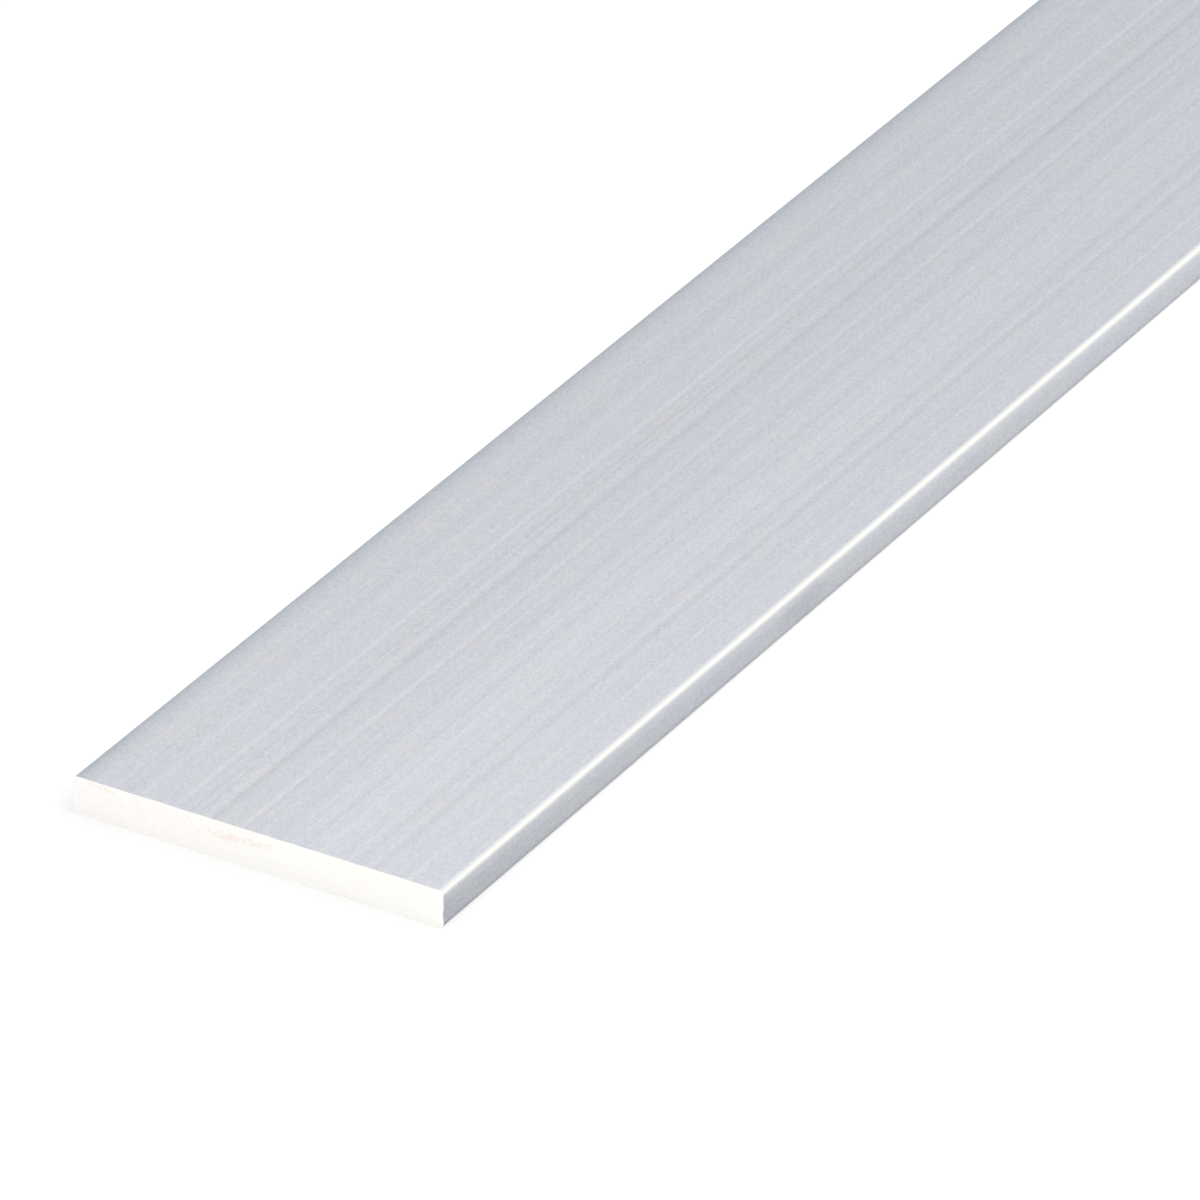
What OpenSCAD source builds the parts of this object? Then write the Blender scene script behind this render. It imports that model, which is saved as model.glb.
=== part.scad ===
// Aluminium flat bar: one length of plain extruded stock, sawn square at both ends.
// The bar lies flat. X runs along its length, Y across its width and Z up through its
// thickness, with the origin at the middle of the underside. All sizes are in millimetres.

/* [Bar] */
// Length from one sawn end to the other
bar_length = 1000; // [250:50:3000]
// Width across the broad faces
bar_width = 30; // [10:1:100]
// Thickness between the broad faces
bar_thickness = 3; // [2:0.5:10]

/* [Edges] */
// Radius that the die leaves on the four long corners
corner_radius = 0.4; // [0.1:0.05:0.9]

/* [Hidden] */
// Facets of a full corner circle
corner_facets = 64;
// Distance from the bar's middle to the centre of a corner radius
corner_y = bar_width / 2 - corner_radius;
corner_z = bar_thickness / 2 - corner_radius;

// Cross-section of the bar, centred on its own middle: a rectangle with four rounded corners
module bar_section() {
    square([bar_width, 2 * corner_z], center = true);
    square([2 * corner_y, bar_thickness], center = true);
    for (side = [-1, 1], face = [-1, 1])
        translate([side * corner_y, face * corner_z])
            circle(r = corner_radius, $fn = corner_facets);
}

// The whole bar: its section pushed through the die along X and cut to length
module flat_bar() {
    color("#d3d6de")
        translate([-bar_length / 2, 0, bar_thickness / 2])
            rotate([90, 0, 90])
                linear_extrude(height = bar_length)
                    bar_section();
}

flat_bar();
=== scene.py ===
"""Looks of an aluminium flat bar: a mill finish with die lines, rounded long corners and sawn ends.

The bar is one piece of stock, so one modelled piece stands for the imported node. X runs along its
length, Y across its width and Z up. Everything is in metres.
"""

import logging
import math
from dataclasses import dataclass, field
from enum import Enum
from typing import Any, Callable

import bmesh
import bpy
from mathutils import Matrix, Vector


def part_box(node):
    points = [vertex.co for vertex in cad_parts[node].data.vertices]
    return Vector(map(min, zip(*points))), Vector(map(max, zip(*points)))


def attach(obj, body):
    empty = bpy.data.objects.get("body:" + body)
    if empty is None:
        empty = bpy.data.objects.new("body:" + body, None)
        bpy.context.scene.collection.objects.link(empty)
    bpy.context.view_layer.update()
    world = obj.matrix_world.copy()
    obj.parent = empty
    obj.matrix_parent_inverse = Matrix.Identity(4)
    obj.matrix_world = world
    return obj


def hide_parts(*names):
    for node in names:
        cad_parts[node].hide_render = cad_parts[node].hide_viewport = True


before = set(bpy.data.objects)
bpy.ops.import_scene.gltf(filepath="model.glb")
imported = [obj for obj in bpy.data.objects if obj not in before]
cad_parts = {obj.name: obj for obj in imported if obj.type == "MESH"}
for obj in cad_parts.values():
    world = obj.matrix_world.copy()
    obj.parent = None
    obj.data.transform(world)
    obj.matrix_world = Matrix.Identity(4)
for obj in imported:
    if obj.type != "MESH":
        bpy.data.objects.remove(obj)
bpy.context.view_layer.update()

LOG = logging.getLogger("flat_bar")

MM = 0.001
MICRON = 1e-6
NODE = "flat_bar"
PIECE = "aluminium_flat_bar"
BODY = "root"
# Distance between two rings of a wood texture, in its own units
WOOD_RING = math.pi / 10
# How much fainter each finer wave of a noise is
NOISE_GAIN = 0.55
# The middle of a noise texture's values
NOISE_MIDDLE = 0.5
# The mesh attribute that carries the die lines' tones
TONE = "die_tone"
# The bevel profile that is a true arc
ROUND_PROFILE = 0.5
# A face whose normal points further along the bar than this belongs to a sawn end
END_NORMAL = 0.9
# Edges that turn by more than this stay sharp
SHARP_ANGLE = math.radians(30.0)

ALONG = Vector((1.0, 0.0, 0.0))
ACROSS = Vector((0.0, 1.0, 0.0))
UP = Vector((0.0, 0.0, 1.0))

Colour = tuple[float, float, float]
WHITE: Colour = (1.0, 1.0, 1.0)


class Broad(Enum):
    """The two broad faces of the bar, by the way that they face."""

    TOP = 1.0
    UNDERSIDE = -1.0


class Marked(Enum):
    """The faces that bear marks from handling."""

    UPPER = "upper"
    RIGHT = "right"


class Slot(Enum):
    """The piece's material slots."""

    MILL = 0
    SAWN = 1


class Part(Enum):
    """The parts of a mesh that can be selected, by where the mesh keeps them."""

    VERT = "verts"
    EDGE = "edges"
    FACE = "faces"


class Signal:
    """A node's output that takes part in Python arithmetic and adds Math nodes to its tree."""

    def __init__(self, sheet: "Sheet", socket: bpy.types.NodeSocket) -> None:
        """Keeps the tree and the socket.

        Args:
            sheet: The node tree that new nodes go into.
            socket: The output that carries the value.
        """
        self.sheet = sheet
        self.socket = socket

    def _math(self, operation: str, *values: "Value") -> "Signal":
        """Adds a Math node.

        Args:
            operation: The Math node's operation.
            *values: Its inputs, in order.

        Returns:
            The node's result.
        """
        return self.sheet.node("ShaderNodeMath", {"operation": operation}, dict(enumerate(values)))

    def __add__(self, other: "Value") -> "Signal":
        """This plus other."""
        return self._math("ADD", self, other)

    def __radd__(self, other: "Value") -> "Signal":
        """Other plus this."""
        return self._math("ADD", other, self)

    def __sub__(self, other: "Value") -> "Signal":
        """This minus other."""
        return self._math("SUBTRACT", self, other)

    def __rsub__(self, other: "Value") -> "Signal":
        """Other minus this."""
        return self._math("SUBTRACT", other, self)

    def __mul__(self, other: "Value") -> "Signal":
        """This times other."""
        return self._math("MULTIPLY", self, other)

    def __rmul__(self, other: "Value") -> "Signal":
        """Other times this."""
        return self._math("MULTIPLY", other, self)

    def __truediv__(self, other: "Value") -> "Signal":
        """This divided by other."""
        return self._math("DIVIDE", self, other)

    def __rtruediv__(self, other: "Value") -> "Signal":
        """Other divided by this."""
        return self._math("DIVIDE", other, self)

    def __abs__(self) -> "Signal":
        """This without its sign."""
        return self._math("ABSOLUTE", self)

    def root(self) -> "Signal":
        """The square root of this."""
        return self._math("SQRT", self)

    def exponential(self) -> "Signal":
        """The exponential of this."""
        return self._math("EXPONENT", self)

    def larger(self, other: "Value") -> "Signal":
        """The larger of this and other."""
        return self._math("MAXIMUM", self, other)

    def smaller(self, other: "Value") -> "Signal":
        """The smaller of this and other."""
        return self._math("MINIMUM", self, other)

    def between(self, low: float, high: float) -> "Signal":
        """A smooth step from 0 at low to 1 at high.

        Args:
            low: The value where the step starts.
            high: The value where the step ends. It may lie below low, and the step then falls.

        Returns:
            The step.
        """
        first, last = (0.0, 1.0) if low < high else (1.0, 0.0)
        return self.sheet.node(
            "ShaderNodeMapRange",
            {"interpolation_type": "SMOOTHSTEP"},
            {
                "Value": self,
                "From Min": min(low, high),
                "From Max": max(low, high),
                "To Min": first,
                "To Max": last,
            },
        )


Value = Signal | float | tuple


class Sheet:
    """A node tree, filled in by one method."""

    def __init__(self, tree: bpy.types.NodeTree) -> None:
        """Empties the tree.

        Args:
            tree: A material's or a world's node tree.
        """
        self.tree = tree
        tree.nodes.clear()

    def node(
        self,
        kind: str,
        settings: dict[str, Any] | None = None,
        inputs: dict[int | str, Value] | None = None,
        output: int | str = 0,
    ) -> Signal:
        """Adds a node.

        Args:
            kind: The node's type.
            settings: Its own settings, which are set before its sockets.
            inputs: The value or link of each input, by name or number.
            output: The output that is wanted, by name or number.

        Returns:
            That output.
        """
        made = self.tree.nodes.new(kind)
        for name, value in (settings or {}).items():
            setattr(made, name, value)
        for name, value in (inputs or {}).items():
            if isinstance(value, Signal):
                self.tree.links.new(value.socket, made.inputs[name])
            else:
                made.inputs[name].default_value = value
        socket = made.outputs[output] if made.outputs else None
        return Signal(self, socket)

    def place(self) -> tuple[Signal, Signal, Signal]:
        """Reads where a point lies on the piece, in millimetres.

        Returns:
            Its place along, across and up.
        """
        here = self.node("ShaderNodeTexCoord", output="Object")
        axes = [self.node("ShaderNodeSeparateXYZ", inputs={0: here}, output=i) for i in range(3)]
        along, across, up = (axis * (1 / MM) for axis in axes)
        return along, across, up

    def vector(self, x: Value, y: Value, z: Value) -> Signal:
        """Joins three values into a vector."""
        return self.node("ShaderNodeCombineXYZ", inputs={0: x, 1: y, 2: z})

    def noise(self, where: Signal, detail: float) -> Signal:
        """Adds a noise centred on zero.

        Args:
            where: The point that it is read at, in waves.
            detail: How many finer waves are added.

        Returns:
            The noise, from about -0.5 to 0.5.
        """
        inputs = {"Vector": where, "Scale": 1.0, "Detail": detail, "Roughness": NOISE_GAIN}
        return self.node("ShaderNodeTexNoise", inputs=inputs) - NOISE_MIDDLE

    def blend(self, share: Value, first: Value, second: Value) -> Signal:
        """Mixes two colours.

        Args:
            share: How much of the second colour shows, from 0 to 1.
            first: One colour.
            second: The other colour.

        Returns:
            The mixed colour.
        """
        inputs = {"Factor": share, "A": paint(first), "B": paint(second)}
        return self.node("ShaderNodeMix", {"data_type": "RGBA"}, inputs, output="Result")

    def shade(self, colour: Signal, lightness: Signal) -> Signal:
        """Makes a colour lighter or darker.

        Args:
            colour: The colour.
            lightness: What it is multiplied by.

        Returns:
            The new colour.
        """
        return self.node("ShaderNodeVectorMath", {"operation": "SCALE"}, {0: colour, "Scale": lightness})

    def bump(self, height: Signal) -> Signal:
        """Turns a height in millimetres into a normal."""
        return self.node("ShaderNodeBump", inputs={"Strength": 1.0, "Distance": MM, "Height": height})


def paint(colour: Value) -> Value:
    """Adds full opacity to a plain colour.

    Args:
        colour: Three numbers, or a link.

    Returns:
        Four numbers, or the same link.
    """
    return colour if isinstance(colour, Signal) else (*colour, 1.0)


@dataclass(frozen=True)
class DieLine:
    """A fine line or a wide band that the die draws along the broad faces.

    Attributes:
        from_far_edge: Its distance from the far long edge.
        half_width: Half of its width.
        tone: How much lighter it is than the face, in hundredths.
        lift_per_tone: How far it stands proud of the face for each hundredth.
    """

    from_far_edge: float
    half_width: float
    tone: float
    lift_per_tone: float = 0.3 * MICRON

    @property
    def lift(self) -> float:
        """How far the line stands proud of the face, below zero for a groove."""
        return self.tone * self.lift_per_tone


DIE_LINES = (
    DieLine(2.2 * MM, 0.30 * MM, 2.0),
    DieLine(3.3 * MM, 0.25 * MM, 3.0),
    DieLine(3.7 * MM, 0.15 * MM, -2.0),
    DieLine(4.5 * MM, 0.25 * MM, -3.0),
    DieLine(5.5 * MM, 0.35 * MM, 4.0),
    DieLine(8.3 * MM, 0.25 * MM, 7.0),
    DieLine(8.7 * MM, 0.15 * MM, -3.0),
    DieLine(9.6 * MM, 0.30 * MM, -4.5),
    DieLine(10.2 * MM, 0.15 * MM, -4.0),
    DieLine(10.8 * MM, 0.35 * MM, 3.0),
    DieLine(11.5 * MM, 0.35 * MM, -7.5),
    DieLine(13.7 * MM, 0.35 * MM, 5.5),
    DieLine(14.1 * MM, 0.15 * MM, -4.5),
    DieLine(15.3 * MM, 0.25 * MM, 1.5),
    DieLine(16.3 * MM, 0.45 * MM, -4.0),
    DieLine(17.1 * MM, 0.25 * MM, 3.0),
    DieLine(17.8 * MM, 0.20 * MM, 2.5),
    DieLine(18.7 * MM, 0.30 * MM, -3.0),
    DieLine(20.1 * MM, 0.40 * MM, 3.0),
    DieLine(20.5 * MM, 0.15 * MM, 2.5),
    DieLine(21.1 * MM, 0.20 * MM, 3.5),
    DieLine(21.5 * MM, 0.15 * MM, -3.0),
    DieLine(22.3 * MM, 0.35 * MM, 2.5),
    DieLine(23.0 * MM, 0.35 * MM, -5.0),
    DieLine(23.9 * MM, 0.25 * MM, 5.0),
    DieLine(24.5 * MM, 0.35 * MM, -4.5),
    DieLine(25.5 * MM, 0.25 * MM, 2.0),
    DieLine(27.1 * MM, 0.20 * MM, 5.5),
    DieLine(28.4 * MM, 0.15 * MM, 2.5),
    DieLine(7.0 * MM, 3.00 * MM, 0.5, lift_per_tone=0.0),
    DieLine(19.5 * MM, 6.00 * MM, 2.6, lift_per_tone=0.0),
    DieLine(29.0 * MM, 15.00 * MM, 3.2, lift_per_tone=0.0),
)


@dataclass(frozen=True)
class Layer:
    """A layer of fine unevenness in a finish.

    Attributes:
        length: The length of its waves along the grain, in millimetres.
        width: Their width across the grain, in millimetres.
        tone: How much lighter and darker it makes the metal.
        matt: How much rougher and smoother it makes the metal.
        relief: How high it stands, in millimetres.
        hue: How far it turns the metal between its two tones.
        detail: How many finer waves it has.
    """

    length: float
    width: float
    tone: float = 0.0
    matt: float = 0.0
    relief: float = 0.0
    hue: float = 0.0
    detail: float = 2.0

    def read(self, sheet: Sheet, grain: Signal, across: Signal, out: Signal) -> Signal:
        """Adds the layer's noise.

        Args:
            sheet: The node tree.
            grain: The place along the grain, in millimetres.
            across: The place across it.
            out: The place along the third axis.

        Returns:
            The noise, centred on zero.
        """
        where = sheet.vector(grain / self.length, across / self.width, out / self.width)
        return sheet.noise(where, self.detail)


@dataclass(frozen=True)
class Unevenness:
    """What several layers add up to.

    Attributes:
        tone: How much lighter the metal is.
        matt: How much rougher it is.
        relief: How high it stands, in millimetres.
        hue: How far it is turned towards its second tone.
    """

    tone: Signal
    matt: Signal
    relief: Signal
    hue: Signal

    @classmethod
    def of(
        cls, layers: tuple[Layer, ...], sheet: Sheet, grain: Signal, across: Signal, out: Signal
    ) -> "Unevenness":
        """Adds up layers.

        Args:
            layers: The layers.
            sheet: The node tree.
            grain: The place along the grain, in millimetres.
            across: The place across it.
            out: The place along the third axis.

        Returns:
            Their sums.
        """
        noises = [(layer, layer.read(sheet, grain, across, out)) for layer in layers]
        sums = {}
        for name in ("tone", "matt", "relief", "hue"):
            parts = [noise * getattr(layer, name) for layer, noise in noises if getattr(layer, name)]
            sums[name] = sum(parts[1:], parts[0])
        return cls(**sums)


@dataclass(frozen=True)
class Scuff:
    """A small mark from handling.

    Attributes:
        face: The face that it lies on.
        from_end: Its distance from the near end, in millimetres.
        from_edge: Its distance from the upper face's left edge or the right face's foot, in millimetres.
        half_length: Half of its length along the bar, in millimetres.
        half_width: Half of its width, in millimetres.
        tone: How much lighter it makes the metal.
    """

    face: Marked
    from_end: float
    from_edge: float
    half_length: float
    half_width: float
    tone: float


@dataclass(frozen=True)
class Section:
    """The bar's sizes as its finishes read them, in millimetres.

    Attributes:
        half_length: Half of its length.
        half_width: Half of its width.
        thickness: Its thickness.
        corner_radius: The radius of its long corners.
        face_stop: How far down its corners a broad face stops and is full, as shares of their radius.
    """

    half_length: float
    half_width: float
    thickness: float
    corner_radius: float
    face_stop: tuple[float, float] = (0.5, 0.125)

    def upper_face(self, up: Signal) -> Signal:
        """One on the upper face and zero from halfway down its corners."""
        drop = (self.thickness - up) / self.corner_radius
        return drop.between(*self.face_stop)


@dataclass(frozen=True)
class MillFinish:
    """The satin finish that the die leaves: bluish silver with streaks, a painted highlight along the
    upper right corner, and painted shade along the far edge and on the narrow faces.

    Attributes:
        cool: The bluish tone of the metal.
        warm: The greyer tone that it drifts to.
        drift: How far it drifts there on average, from 0 to 1.
        painted_highlight: The paler tone of the upper right corner, a painted highlight that widens the
            lamps' own highlight there.
        highlight_crest: The creamy tone along the middle of that corner, the brightest part of the
            painted highlight.
        highlight_crest_shift: How much nearer that painted crest lies to the side than to the upper face,
            in millimetres.
        highlight_crest_reach: How far off its middle the painted crest stops and is full, in millimetres.
        painted_highlight_inset: How far from the right side the painted highlight starts and is full, in
            millimetres.
        painted_highlight_drop: How far below the upper face the painted highlight is full, in
            millimetres.
        painted_highlight_fade: The distance over which the painted highlight fades further down, in
            millimetres.
        painted_edge_shade: The darker tone of the upper face at its left edge, painted shade along that
            edge.
        painted_edge_shade_width: The distance over which that painted shade fades, in millimetres.
        narrow_inset: How far from the sides their faces' shade starts and is full, in millimetres.
        painted_narrow_shade: How much darker the narrow faces are than the broad ones, as painted shade.
        lower_shade: How much darker still their lower half is.
        lower_half: The heights at which that shade starts and is full, in millimetres.
        painted_floor_shade: How much darker still they are along the floor, as painted contact shade.
        foot: The heights at which that shade starts and is full, in millimetres.
        end_shade: How much darker still they are towards the ends.
        end_reach: The distance over which that shade fades, in millimetres.
        roughness: How matt the faces are.
        corner_roughness: How matt the upper right corner is, where the highlight is painted.
        tone_step: What one hundredth of a die line's tone does to the lightness.
        fading: How the die lines fade in and out along the bar.
        layers: The unevenness of the faces.
        scuffs: The marks from handling.
    """

    cool: Colour = (0.541, 0.577, 0.645)
    warm: Colour = (0.578, 0.579, 0.603)
    drift: float = 0.5
    painted_highlight: Colour = (0.833, 0.843, 0.860)
    highlight_crest: Colour = (0.80, 0.795, 0.755)
    highlight_crest_shift: float = 0.12
    highlight_crest_reach: tuple[float, float] = (0.30, 0.10)
    painted_highlight_inset: tuple[float, float] = (0.45, 0.19)
    painted_highlight_drop: float = 0.215
    painted_highlight_fade: float = 0.17
    painted_edge_shade: Colour = (0.315, 0.362, 0.407)
    painted_edge_shade_width: float = 0.65
    narrow_inset: tuple[float, float] = (0.15, 0.02)
    painted_narrow_shade: float = 0.17
    lower_shade: float = 0.03
    lower_half: tuple[float, float] = (1.95, 1.60)
    painted_floor_shade: float = 0.17
    foot: tuple[float, float] = (0.75, 0.20)
    end_shade: float = 0.085
    end_reach: float = 7.0
    roughness: float = 0.36
    corner_roughness: float = 0.30
    tone_step: float = 0.0118
    fading: Layer = Layer(length=40.0, width=1.2, tone=1.5)
    layers: tuple[Layer, ...] = (
        Layer(length=900.0, width=3.0, tone=0.03, hue=0.2),
        Layer(length=700.0, width=0.45, tone=0.07, matt=0.10, relief=0.0012),
        Layer(length=250.0, width=0.22, tone=0.07, relief=0.0006, detail=1.0),
        Layer(length=14.0, width=0.30, tone=0.06, hue=0.5),
        Layer(length=0.26, width=0.18, tone=0.34, matt=0.06, relief=0.0006, hue=3.0, detail=1.0),
        Layer(length=6.0, width=3.5, hue=1.0),
    )
    scuffs: tuple[Scuff, ...] = (
        Scuff(Marked.UPPER, from_end=74.0, from_edge=2.6, half_length=1.6, half_width=0.35, tone=0.05),
        Scuff(Marked.UPPER, from_end=127.0, from_edge=4.1, half_length=1.2, half_width=0.4, tone=-0.05),
        Scuff(Marked.RIGHT, from_end=48.6, from_edge=1.4, half_length=4.2, half_width=1.5, tone=-0.07),
    )

    def material(self, section: Section) -> bpy.types.Material:
        """Makes the material.

        Args:
            section: The bar's sizes.

        Returns:
            The new material.
        """
        made = bpy.data.materials.new("mill_finish")
        made.use_nodes = True
        sheet = Sheet(made.node_tree)
        along, across, up = sheet.place()
        uneven = Unevenness.of(self.layers, sheet, along, across, up)
        lines = sheet.node("ShaderNodeAttribute", {"attribute_name": TONE}, output="Fac")
        fading = 1.0 + self.fading.read(sheet, along, across, up) * self.fading.tone
        corner = self._painted_highlight_mask(section, across, up)

        marks = self._marks(section, along, across, up)
        # Painted shade that darkens the narrow faces
        shade = self._painted_narrow_shade(section, along, across, up)
        lightness = 1.0 + lines * fading * self.tone_step + uneven.tone + marks - shade
        metal = sheet.blend(self.drift + uneven.hue, self.cool, self.warm)
        # Painted shade along the upper face's left edge
        metal = sheet.blend(self._painted_edge_shade(section, across, up), metal, self.painted_edge_shade)
        # Painted highlight on the upper right corner, creamy along its crest
        highlight_colour = sheet.blend(self._highlight_crest(section, across, up), self.painted_highlight, self.highlight_crest)
        colour = sheet.blend(corner, sheet.shade(metal, lightness), highlight_colour)
        smoother = corner * (self.roughness - self.corner_roughness)
        shader = sheet.node(
            "ShaderNodeBsdfPrincipled",
            inputs={
                "Base Color": colour,
                "Metallic": 1.0,
                "Roughness": self.roughness + uneven.matt - smoother,
                "Normal": sheet.bump(uneven.relief),
            },
        )
        sheet.node("ShaderNodeOutputMaterial", inputs={"Surface": shader})
        return made

    def _painted_highlight_mask(self, section: Section, across: Signal, up: Signal) -> Signal:
        """Finds where the painted highlight lies on the upper right corner.

        Args:
            section: The bar's sizes.
            across: The place across the bar, in millimetres.
            up: The place up.

        Returns:
            One on the upper right arc and zero on the faces, with a soft change.
        """
        inset = across + section.half_width
        above = up - (section.thickness - self.painted_highlight_drop)
        fade = (above / self.painted_highlight_fade).exponential().smaller(1.0)
        return inset.between(*self.painted_highlight_inset) * fade

    def _highlight_crest(self, section: Section, across: Signal, up: Signal) -> Signal:
        """Finds the middle of the painted highlight on the upper right corner.

        Args:
            section: The bar's sizes.
            across: The place across the bar, in millimetres.
            up: The place up.

        Returns:
            One along the painted highlight's crest and zero beside it.
        """
        inset = across + section.half_width
        drop = section.thickness - up
        return abs(inset - drop + self.highlight_crest_shift).between(*self.highlight_crest_reach)

    def _painted_narrow_shade(self, section: Section, along: Signal, across: Signal, up: Signal) -> Signal:
        """Finds the painted shade that makes the narrow faces darker, more so low down and towards the
        ends.

        Args:
            section: The bar's sizes.
            along: The place along the bar, in millimetres.
            across: The place across it.
            up: The place up.

        Returns:
            The painted shade on the two narrow faces, and zero on the broad ones.
        """
        narrow = (section.half_width - abs(across)).between(*self.narrow_inset)
        lower = up.between(*self.lower_half) * self.lower_shade
        # Painted contact shade along the floor
        foot = up.between(*self.foot) * self.painted_floor_shade
        ends = ((abs(along) - section.half_length) / self.end_reach).exponential() * self.end_shade
        return narrow * (self.painted_narrow_shade + lower + foot + ends)

    def _painted_edge_shade(self, section: Section, across: Signal, up: Signal) -> Signal:
        """How much of the painted edge shade shows: all of it at the upper face's left edge, less further
        in.
        """
        fade = ((across - section.half_width) / self.painted_edge_shade_width).exponential()
        return fade * section.upper_face(up)

    def _marks(self, section: Section, along: Signal, across: Signal, up: Signal) -> Signal:
        """Adds the marks from handling.

        Args:
            section: The bar's sizes.
            along: The place along the bar, in millimetres.
            across: The place across it.
            up: The place up.

        Returns:
            How much lighter they make the metal.
        """
        right_face = (across + section.half_width).between(*self.narrow_inset)
        faces = {Marked.UPPER: section.upper_face(up), Marked.RIGHT: right_face}
        edges = {Marked.UPPER: section.half_width - across, Marked.RIGHT: up}
        marks = []
        for scuff in self.scuffs:
            off_along = (along + section.half_length - scuff.from_end) / scuff.half_length
            off_edge = (edges[scuff.face] - scuff.from_edge) / scuff.half_width
            shape = (off_along * off_along + off_edge * off_edge).between(1.0, 0.0)
            marks.append(shape * faces[scuff.face] * scuff.tone)
        return sum(marks[1:], marks[0])


@dataclass(frozen=True)
class Blade:
    """The saw blade that cut the ends, as its arcs show it.

    Attributes:
        across: Where its axle lay across the bar.
        up: How high its axle lay.
        pitch: The distance between its arcs.
        depth: How deep the arcs are.
    """

    across: float = 8.0 * MM
    up: float = 125.0 * MM
    pitch: float = 0.42 * MM
    depth: float = 5.0 * MICRON


@dataclass(frozen=True)
class Smear:
    """A brownish smear that the blade left along one of its arcs, with its sizes in millimetres.

    Attributes:
        across: Where its middle lies across the bar.
        up: How high its middle lies.
        half_length: Half of its length.
        half_height: Half of its height.
        strength: How strong it is in its middle.
    """

    across: float
    up: float
    half_length: float
    half_height: float
    strength: float = 1.0

    def mask(self, blade: Blade, across: Signal, radius: Signal) -> Signal:
        """Lays the smear along its arc.

        Args:
            blade: The blade.
            across: The place across the bar, in millimetres.
            radius: The distance from the blade's axle, in millimetres.

        Returns:
            The smear's strength in its middle and zero outside it.
        """
        arc = math.hypot(self.across - blade.across / MM, self.up - blade.up / MM)
        off_across = (across - self.across) / self.half_length
        off_arc = (radius - arc) / self.half_height
        return (off_across * off_across + off_arc * off_arc).between(1.0, 0.0) * self.strength


@dataclass(frozen=True)
class SawnFinish:
    """The finish that the saw leaves on the ends: pale, matt and faintly mottled.

    Attributes:
        pale: The tone of freshly cut metal.
        blush: The faint pink of the mottles.
        brown: The tone of the smears on the near end.
        roughness: How matt it is.
        layers: The unevenness along the blade's arcs.
        mottling: The unevenness at which the pink starts, and at which it is full.
        mottling_left: How much more of it there is for each millimetre to the left.
        smears: The smears on the near end.
        smear_flecks: The unevenness at which a smear starts to show, and at which it is full.
    """

    pale: Colour = (0.965, 0.96, 0.93)
    blush: Colour = (0.945, 0.880, 0.870)
    brown: Colour = (0.885, 0.775, 0.685)
    roughness: float = 0.55
    layers: tuple[Layer, ...] = (
        Layer(length=11.0, width=0.24, tone=0.035, relief=0.002, detail=1.0),
        Layer(length=0.46, width=0.30, tone=0.02, hue=1.2),
        Layer(length=0.15, width=0.12, tone=0.04, matt=0.12, relief=0.002, hue=1.6),
    )
    mottling: tuple[float, float] = (-0.10, 0.70)
    mottling_left: float = 0.009
    smears: tuple[Smear, ...] = (
        Smear(across=1.8, up=1.95, half_length=4.2, half_height=0.50),
        Smear(across=12.6, up=2.68, half_length=1.5, half_height=0.25, strength=0.65),
    )
    smear_flecks: tuple[float, float] = (-0.35, 0.60)

    def material(self, section: Section, blade: Blade) -> bpy.types.Material:
        """Makes the material.

        Args:
            section: The bar's sizes.
            blade: The blade whose arcs the finish follows.

        Returns:
            The new material.
        """
        made = bpy.data.materials.new("sawn_finish")
        made.use_nodes = True
        sheet = Sheet(made.node_tree)
        along, across, up = sheet.place()
        from_axle = across - blade.across / MM
        below_axle = blade.up / MM - up
        radius = (from_axle * from_axle + below_axle * below_axle).root()
        uneven = Unevenness.of(self.layers, sheet, across, radius, along)

        mottled = (uneven.hue + across * self.mottling_left).between(*self.mottling)
        metal = sheet.blend(mottled, self.pale, self.blush)
        near_end = along.between(0.0, -section.half_length)
        flecks = uneven.hue.between(*self.smear_flecks) * near_end
        masks = [smear.mask(blade, across, radius) for smear in self.smears]
        colour = sheet.blend(sum(masks[1:], masks[0]) * flecks, metal, self.brown)
        shader = sheet.node(
            "ShaderNodeBsdfPrincipled",
            inputs={
                "Base Color": sheet.shade(colour, 1.0 + uneven.tone),
                "Metallic": 1.0,
                "Roughness": self.roughness + uneven.matt,
                "Normal": sheet.bump(uneven.relief),
            },
        )
        sheet.node("ShaderNodeOutputMaterial", inputs={"Surface": shader})
        return made


@dataclass(frozen=True)
class Nick:
    """A small dent in the near end's right edge.

    Attributes:
        up: How high it lies.
        depth: How deep it is.
        reach: How far it spreads.
    """

    up: float = 1.1 * MM
    depth: float = 0.07 * MM
    reach: float = 0.55 * MM


@dataclass(frozen=True)
class BakeLayout:
    """Where the faces lie on the picture that the finish is baked to.

    Attributes:
        name: The map's name.
        girth_share: How much of the picture's height the strip round the bar takes.
        end_low: Where the sawn ends start, as a share of the picture's height.
        end_high: Where they stop.
        end_starts: Where each of them starts, as a share of the picture's width.
        end_span: How wide each of them is, as a share of the picture's width.
    """

    name: str = "OFBake"
    girth_share: float = 0.93
    end_low: float = 0.945
    end_high: float = 0.995
    end_starts: tuple[float, float] = (0.02, 0.53)
    end_span: float = 0.45


def is_sawn(face: bmesh.types.BMFace | bpy.types.MeshPolygon) -> bool:
    """Whether a face belongs to a sawn end."""
    return abs(face.normal.x) > END_NORMAL


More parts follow.
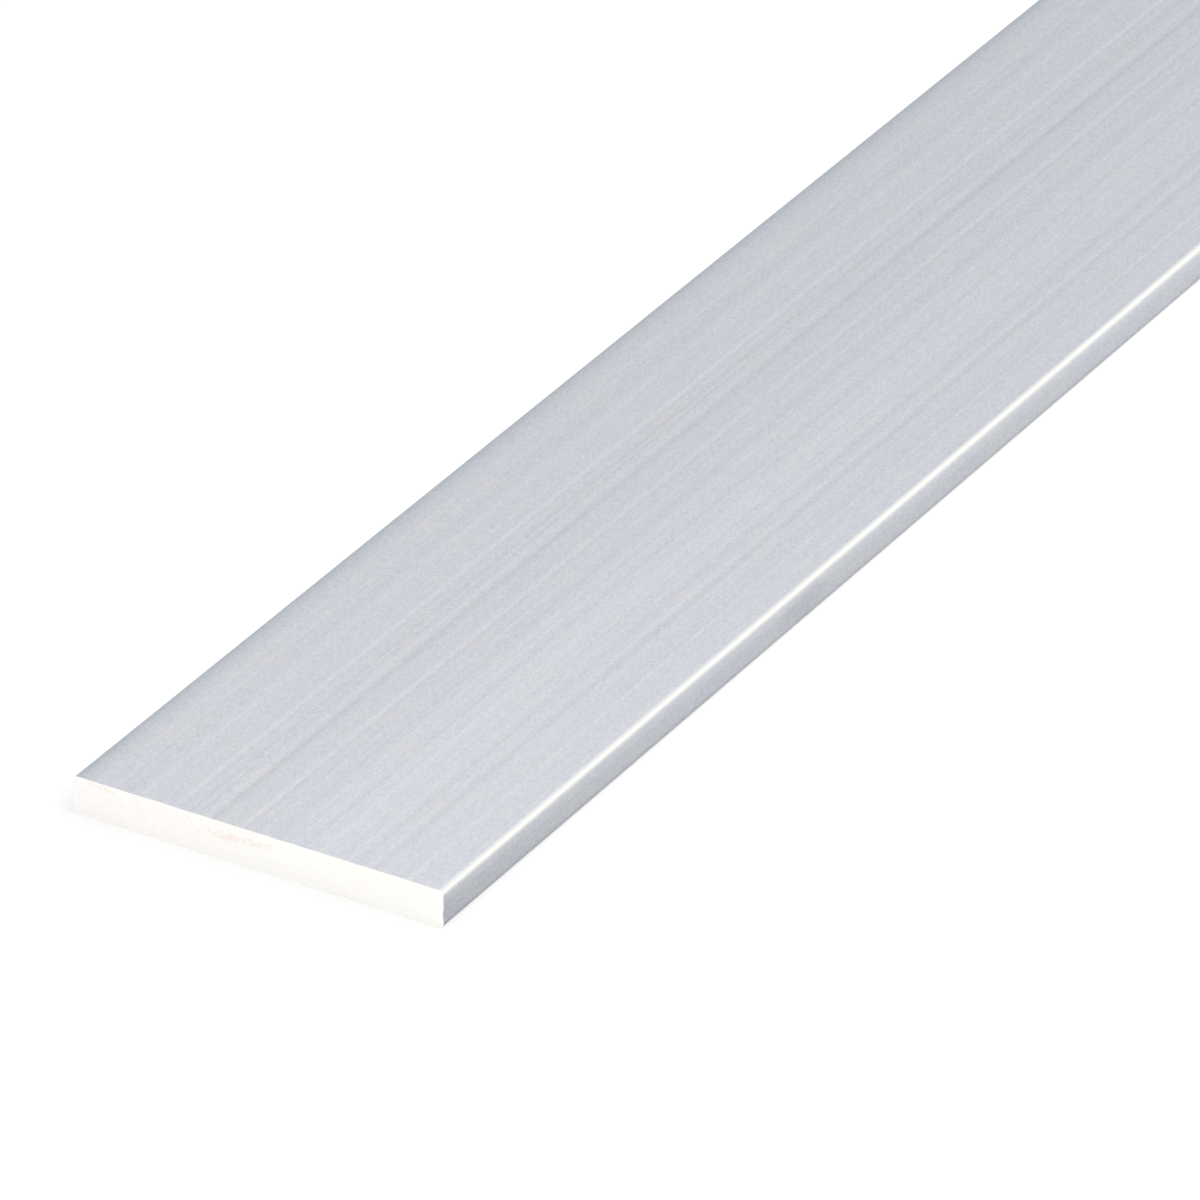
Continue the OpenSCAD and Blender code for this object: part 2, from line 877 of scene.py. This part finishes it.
@dataclass
class FlatBar:
    """The bar: its section, its die lines and its sawn ends.

    Attributes:
        low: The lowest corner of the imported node.
        high: Its highest corner.
        corner_radius: The radius of the four long corners.
        corner_steps: How many facets each of those corners has.
        lengths: How many stretches the bar is divided into along its length.
        end_cuts: The distances from each end of the finer cuts there.
        side_step: The distance between the lines along the narrow faces.
        rim_swing: How far the rim of a sawn end wanders.
        rim_wave: The length of that wandering.
        lines: The die lines.
        blade: The blade that cut the ends.
        nick: The dent in the near end's right edge.
        layout: Where the faces lie on the baked picture.
        piece: The modelled bar.
    """

    low: Vector
    high: Vector
    corner_radius: float = 0.4 * MM
    corner_steps: int = 8
    lengths: int = 40
    end_cuts: tuple[float, ...] = (0.15 * MM, 0.4 * MM, 0.8 * MM, 1.6 * MM, 4.0 * MM)
    side_step: float = 0.1 * MM
    rim_swing: float = 0.05 * MM
    rim_wave: float = 0.9 * MM
    lines: tuple[DieLine, ...] = DIE_LINES
    blade: Blade = Blade()
    nick: Nick = Nick()
    layout: BakeLayout = BakeLayout()
    piece: bpy.types.Object = field(init=False)

    def build(self) -> bpy.types.Object:
        """Models the bar.

        Returns:
            The finished piece, without its materials.
        """
        self._start_block()
        bpy.ops.object.mode_set(mode="EDIT")
        self._round_corners()
        self._divide_length()
        self._divide_faces()
        self._draw_lines()
        bpy.ops.object.mode_set(mode="OBJECT")
        self._mark_tones()
        self._lay_out()
        self._saw_ends()
        bpy.ops.object.mode_set(mode="EDIT")
        self._dent_edge()
        bpy.ops.object.mode_set(mode="OBJECT")
        bpy.ops.object.shade_smooth_by_angle(angle=SHARP_ANGLE)
        return self.piece

    def dress(self) -> None:
        """Gives the bar its two finishes."""
        size = (self.high - self.low) / MM
        section = Section(size.x / 2, size.y / 2, size.z, self.corner_radius / MM)
        self.piece.data.materials.append(MillFinish().material(section))
        self.piece.data.materials.append(SawnFinish().material(section, self.blade))
        self.piece.active_material_index = Slot.SAWN.value
        bpy.ops.object.mode_set(mode="EDIT")
        self._select(Part.FACE, is_sawn)
        bpy.ops.object.material_slot_assign()
        bpy.ops.object.mode_set(mode="OBJECT")

    def _start_block(self) -> None:
        """Adds a block of the bar's size, with its place in its mesh."""
        bpy.ops.object.select_all(action="DESELECT")
        centre = (self.low + self.high) / 2
        bpy.ops.mesh.primitive_cube_add(size=1.0, location=centre, scale=self.high - self.low)
        bpy.ops.object.transform_apply(location=True, rotation=True, scale=True)
        self.piece = bpy.context.object
        self.piece.name = PIECE
        self.piece.data.name = PIECE

    def _round_corners(self) -> None:
        """Rounds the four long corners."""
        self._select(
            Part.EDGE,
            lambda edge: abs(edge.verts[0].co.x - edge.verts[1].co.x) > self.corner_radius,
        )
        bpy.ops.mesh.bevel(
            offset=self.corner_radius,
            segments=self.corner_steps,
            profile=ROUND_PROFILE,
            affect="EDGES",
        )

    def _divide_length(self) -> None:
        """Cuts the bar into stretches along its length, with finer ones at its ends."""
        length = self.high.x - self.low.x
        for i in range(1, self.lengths):
            self._cut(ALONG, self.low.x + length * i / self.lengths)
        for depth in self.end_cuts:
            self._cut(ALONG, self.low.x + depth)
            self._cut(ALONG, self.high.x - depth)

    def _divide_faces(self) -> None:
        """Cuts the faces into lengthwise strips, and the ends along the same lines."""
        for line in self.lines:
            across = self.high.y - line.from_far_edge
            for step in (-1, 0, 1):
                self._cut(ACROSS, across + step * line.half_width)
        for i in range(self.corner_steps):
            depth = self.corner_radius * math.cos(math.pi / 2 * i / self.corner_steps)
            self._cut(ACROSS, self.low.y + depth)
            self._cut(ACROSS, self.high.y - depth)
            self._cut(UP, self.low.z + depth)
            self._cut(UP, self.high.z - depth)
        flat = self.high.z - self.low.z - 2 * self.corner_radius
        strips = round(flat / self.side_step)
        for i in range(1, strips):
            self._cut(UP, self.low.z + self.corner_radius + flat * i / strips)

    def _draw_lines(self) -> None:
        """Lifts or sinks each die line on both broad faces."""
        for line in self.lines:
            across = self.high.y - line.from_far_edge
            for face in Broad:
                level = self.high.z if face is Broad.TOP else self.low.z
                self._select(
                    Part.VERT,
                    lambda point, y=across, z=level: abs(point.co.y - y) < MICRON
                    and abs(point.co.z - z) < MICRON,
                )
                bpy.ops.transform.translate(value=(0, 0, line.lift * face.value))

    def _mark_tones(self) -> None:
        """Keeps each die line's tone on the mesh, for the finish to read."""
        mesh = self.piece.data
        tones = mesh.attributes.new(TONE, "FLOAT", "POINT")
        for point, tone in zip(mesh.vertices, tones.data):
            for line in self.lines:
                away = abs(point.co.y - (self.high.y - line.from_far_edge)) / line.half_width
                tone.value += line.tone * max(0.0, 1.0 - away)

    def _girth(self) -> float:
        """Measures the way round the whole section.

        Returns:
            The distance along the surface.
        """
        size = self.high - self.low
        saved_by_arc = (2 - math.pi / 2) * self.corner_radius
        return 2 * (size.y + size.z) - 4 * saved_by_arc

    def _way_round(self, y: float, z: float) -> float:
        """Measures the way round the upper half of the section, from the middle of its far side.

        Args:
            y: Where the point lies, from the middle of the width.
            z: How high it lies above the middle of the thickness.

        Returns:
            The distance along the surface.
        """
        if y < 0.0:
            return self._girth() / 2 - self._way_round(-y, z)
        size = self.high - self.low
        side, top = size.z / 2 - self.corner_radius, size.y / 2 - self.corner_radius
        if z <= side:
            return z
        if y <= top:
            return side + self.corner_radius * math.pi / 2 + top - y
        return side + self.corner_radius * math.atan2(z - side, y - top)

    def _lay_out(self) -> None:
        """Lays the faces out for baking: a strip that goes round the bar, and the two ends above it."""
        mesh = self.piece.data
        places = mesh.uv_layers.new(name=self.layout.name).data
        for face in mesh.polygons:
            place = self._end_place if is_sawn(face) else self._strip_place
            for loop in face.loop_indices:
                point = mesh.vertices[mesh.loops[loop].vertex_index].co
                places[loop].uv = place(face, point)

    def _end_place(self, face: bpy.types.MeshPolygon, point: Vector) -> tuple[float, float]:
        """Places a point of a sawn end on the baked picture.

        Args:
            face: The face that the point belongs to.
            point: The point.

        Returns:
            Its place across and up the picture, as shares of its sides.
        """
        size, layout = self.high - self.low, self.layout
        start = layout.end_starts[0 if face.normal.x < 0.0 else 1]
        across = (point.y - self.low.y) / size.y
        up = (point.z - self.low.z) / size.z
        height = layout.end_high - layout.end_low
        return start + across * layout.end_span, layout.end_low + up * height

    def _strip_place(self, face: bpy.types.MeshPolygon, point: Vector) -> tuple[float, float]:
        """Places a point of the four long faces on the baked picture.

        Args:
            face: The face that the point belongs to.
            point: The point.

        Returns:
            Its place across and up the picture, as shares of its sides.
        """
        centre, girth = (self.low + self.high) / 2, self._girth()
        lower = face.center.z < centre.z
        height = centre.z - point.z if lower else point.z - centre.z
        way = self._way_round(point.y - centre.y, max(0.0, height))
        along = (point.x - self.low.x) / (self.high.x - self.low.x)
        return along, (girth - way if lower else way) / girth * self.layout.girth_share

    def _saw_ends(self) -> None:
        """Leaves the blade's arcs on both sawn ends, and an uneven rim round them."""
        faces_at = {}
        for face in self.piece.data.polygons:
            for index in face.vertices:
                faces_at.setdefault(index, set()).add(is_sawn(face))
        # The groups go by name, because applying a modifier makes them anew
        sawn, rim = "sawn", "rim"
        for group, wanted in ((sawn, {True}), (rim, {True, False})):
            points = [index for index, kinds in faces_at.items() if kinds == wanted]
            self.piece.vertex_groups.new(name=group).add(points, 1.0, "REPLACE")

        arcs = bpy.data.textures.new("saw_arcs", type="WOOD")
        arcs.wood_type = "RINGS"
        bpy.ops.object.empty_add(location=(0.0, self.blade.across, self.blade.up))
        axle = bpy.context.object
        axle.scale = [self.blade.pitch / WOOD_RING] * 3
        self._displace(arcs, sawn, self.blade.depth, axle)
        bpy.data.objects.remove(axle)
        wander = bpy.data.textures.new("rim_wander", type="CLOUDS")
        wander.noise_scale = self.rim_wave
        self._displace(wander, rim, self.rim_swing, None)
        self.piece.vertex_groups.clear()

    def _displace(
        self, texture: bpy.types.Texture, group: str, depth: float, centre: bpy.types.Object | None
    ) -> None:
        """Moves a group of points along the bar by a texture.

        Args:
            texture: The texture, which is removed afterwards.
            group: The vertex group.
            depth: How far the points move.
            centre: The object whose coordinates the texture follows, or none for the bar's own.
        """
        bpy.ops.object.select_all(action="DESELECT")
        bpy.context.view_layer.objects.active = self.piece
        self.piece.select_set(True)
        bpy.context.view_layer.update()
        bpy.ops.object.modifier_add(type="DISPLACE")
        modifier = self.piece.modifiers[-1]
        modifier.texture = texture
        modifier.vertex_group = group
        modifier.direction = "X"
        modifier.strength = depth
        modifier.texture_coords = "OBJECT" if centre else "LOCAL"
        modifier.texture_coords_object = centre
        bpy.ops.object.modifier_apply(modifier=modifier.name)
        bpy.data.textures.remove(texture)

    def _dent_edge(self) -> None:
        """Dents the near end's right edge."""
        spot = Vector((self.low.x, self.low.y, self.low.z + self.nick.up))
        nearest = self.side_step / 2
        self._select(Part.VERT, lambda point: (point.co - spot).length < nearest)
        bpy.ops.transform.translate(
            value=(0, self.nick.depth, 0),
            use_proportional_edit=True,
            proportional_edit_falloff="SMOOTH",
            proportional_size=self.nick.reach,
        )

    def _cut(self, normal: Vector, at: float) -> None:
        """Cuts the whole mesh along a plane.

        Args:
            normal: The axis that the plane stands across.
            at: Its place along that axis.
        """
        bpy.ops.mesh.select_all(action="SELECT")
        bpy.ops.mesh.bisect(plane_co=normal * at, plane_no=normal, threshold=MICRON)

    def _select(self, kind: Part, wanted: Callable[[Any], bool]) -> None:
        """Selects the parts of the mesh that a test accepts.

        Args:
            kind: Which parts are tested.
            wanted: The test.
        """
        bpy.ops.mesh.select_mode(type=kind.name)
        bpy.ops.mesh.select_all(action="DESELECT")
        mesh = bmesh.from_edit_mesh(self.piece.data)
        for part in getattr(mesh, kind.value):
            if wanted(part):
                part.select_set(True)
        mesh.select_flush_mode()
        bmesh.update_edit_mesh(self.piece.data)


@dataclass(frozen=True)
class SoftBox:
    """A soft lamp.

    Attributes:
        name: What the lamp is for.
        aim: The point that it faces.
        way: The direction from that point to the lamp.
        distance: How far away it is.
        width: How wide it is.
        height: How high it is.
        radiance: How bright its face is, where 1 is white.
        colour: The colour of its light.
        mirrored: Whether it shows in polished and satin surfaces.
    """

    name: str
    aim: Vector
    way: Vector
    distance: float
    width: float
    height: float
    radiance: float
    colour: Colour = WHITE
    mirrored: bool = True

    def hang(self) -> None:
        """Puts the lamp in the scene."""
        way = self.way.normalized()
        bpy.ops.object.light_add(
            type="AREA",
            location=self.aim + way * self.distance,
            rotation=way.to_track_quat("Z", "Y").to_euler(),
        )
        lamp = bpy.context.object
        lamp.name = self.name
        lamp.data.shape = "RECTANGLE"
        lamp.data.size = self.width
        lamp.data.size_y = self.height
        lamp.data.color = self.colour
        lamp.visible_glossy = self.mirrored
        lamp.data.energy = self.radiance * math.pi * self.width * self.height


@dataclass
class Studio:
    """The pale floor, the even white room and the soft lamps.

    Attributes:
        lamps: The soft lamps.
        floor_side: The side of the square floor.
        floor_gap: How far the floor lies below the bar.
        floor_colour: How pale the floor is.
        floor_glow: What is added so that the floor reads as white.
        room: How bright the room is.
    """

    lamps: tuple[SoftBox, ...]
    floor_side: float = 60.0
    floor_gap: float = 0.01 * MM
    floor_colour: float = 0.42
    floor_glow: float = 0.55
    room: float = 1.0

    def build(self) -> None:
        """Lays the floor, lights the room and hangs the lamps."""
        self._lay_floor()
        self._light_room()
        for lamp in self.lamps:
            lamp.hang()

    def _lay_floor(self) -> None:
        """Lays the floor just below the bar."""
        bpy.ops.object.select_all(action="DESELECT")
        bpy.ops.mesh.primitive_plane_add(size=self.floor_side, location=(0, 0, -self.floor_gap))
        floor = bpy.context.object
        floor.name = "floor"
        floor.data.materials.append(self._floor_material())

    def _light_room(self) -> None:
        """Fills the room with even white light."""
        world = bpy.data.worlds.new("room")
        world.use_nodes = True
        sheet = Sheet(world.node_tree)
        inputs = {"Color": paint(WHITE), "Strength": self.room}
        light = sheet.node("ShaderNodeBackground", inputs=inputs)
        sheet.node("ShaderNodeOutputWorld", inputs={"Surface": light})
        bpy.context.scene.world = world

    def _floor_material(self) -> bpy.types.Material:
        """Makes the floor's white, which keeps the bar's shadow.

        Returns:
            The new material.
        """
        made = bpy.data.materials.new("floor")
        made.use_nodes = True
        sheet = Sheet(made.node_tree)
        seen = sheet.node("ShaderNodeLightPath", output="Is Camera Ray")
        mirrored = sheet.node("ShaderNodeLightPath", output="Is Glossy Ray")
        passed = sheet.node("ShaderNodeLightPath", output="Is Transmission Ray")
        shown = seen.larger(mirrored).larger(passed)
        shader = sheet.node(
            "ShaderNodeBsdfPrincipled",
            inputs={
                "Base Color": paint((self.floor_colour,) * 3),
                "Roughness": 1.0,
                "Specular IOR Level": 0.0,
                "Emission Color": shown * self.floor_glow,
                "Emission Strength": 1.0,
            },
        )
        sheet.node("ShaderNodeOutputMaterial", inputs={"Surface": shader})
        return made


@dataclass(frozen=True)
class PhotoCamera:
    """The camera that took the photograph, fitted to the bar's edges there.

    Attributes:
        target: The middle of the near end's underside.
        pixel: Where that point lies in the picture.
        side: The side of the square picture, in pixels.
        azimuth: The angle from the bar's length to the view, in degrees.
        elevation: How far the view looks down, in degrees.
        depth: The distance to the point along the view.
        lens: The lens, in millimetres.
        sensor: The width of the sensor, in millimetres.
    """

    target: Vector
    pixel: tuple[float, float] = (257.3, 870.25)
    side: float = 1200.0
    azimuth: float = 30.96
    elevation: float = 30.0
    depth: float = 0.8709
    lens: float = 381.0
    sensor: float = 36.0

    def set_up(self) -> None:
        """Puts the camera in the scene."""
        turn, drop = math.radians(self.azimuth), math.radians(self.elevation)
        ahead = Vector(
            (math.cos(drop) * math.cos(turn), math.cos(drop) * math.sin(turn), -math.sin(drop))
        )
        right = Vector((math.sin(turn), -math.cos(turn), 0.0))
        up = right.cross(ahead)
        metres_per_pixel = self.depth * self.sensor / self.lens / self.side
        sideways = (self.pixel[0] - self.side / 2) * metres_per_pixel
        upwards = (self.side / 2 - self.pixel[1]) * metres_per_pixel
        place = self.target - right * sideways - up * upwards - ahead * self.depth
        bpy.ops.object.camera_add(location=place, rotation=ahead.to_track_quat("-Z", "Y").to_euler())
        camera = bpy.context.object
        camera.data.lens = self.lens
        camera.data.sensor_width = self.sensor
        bpy.context.scene.camera = camera


def studio_lamps(near_end: Vector) -> tuple[SoftBox, ...]:
    """Places the soft lamps round the near end.

    Args:
        near_end: The middle of the near end's underside.

    Returns:
        The lamps.
    """
    return (
        SoftBox(
            name="side_panel",
            aim=near_end + Vector((0.235, 0.0, 0.232)),
            way=Vector((0.0, -1.0, 0.0)),
            distance=0.26,
            width=0.77,
            height=0.44,
            radiance=0.33,
            colour=(1.0, 0.99, 0.93),
        ),
        SoftBox(
            name="back_light",
            aim=near_end,
            way=Vector((0.60, 0.28, 0.75)),
            distance=0.20,
            width=0.12,
            height=0.12,
            radiance=0.33,
            colour=(1.0, 0.93, 0.88),
        ),
        SoftBox(
            name="front_key",
            aim=near_end,
            way=Vector((-0.8, 0.35, 0.45)),
            distance=1.0,
            width=0.8,
            height=0.8,
            radiance=0.50,
        ),
        SoftBox(
            name="floor_light",
            aim=near_end + Vector((0.21, -0.17, 0.0)),
            way=Vector((0.0, 0.0, 1.0)),
            distance=0.08,
            width=0.40,
            height=0.34,
            radiance=1.1,
            mirrored=False,
        ),
    )


def main() -> None:
    """Builds the bar, its studio and its camera."""
    logging.basicConfig(level=logging.INFO)
    low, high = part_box(NODE)
    bar = FlatBar(low, high)
    piece = bar.build()
    bar.dress()
    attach(piece, BODY)
    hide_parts(NODE)
    LOG.info("%s: %d faces", piece.name, len(piece.data.polygons))

    near_end = Vector((low.x, 0.0, low.z))
    Studio(studio_lamps(near_end)).build()
    PhotoCamera(near_end).set_up()
    bpy.context.scene.view_settings.view_transform = "Standard"


if __name__ == "__main__":
    main()
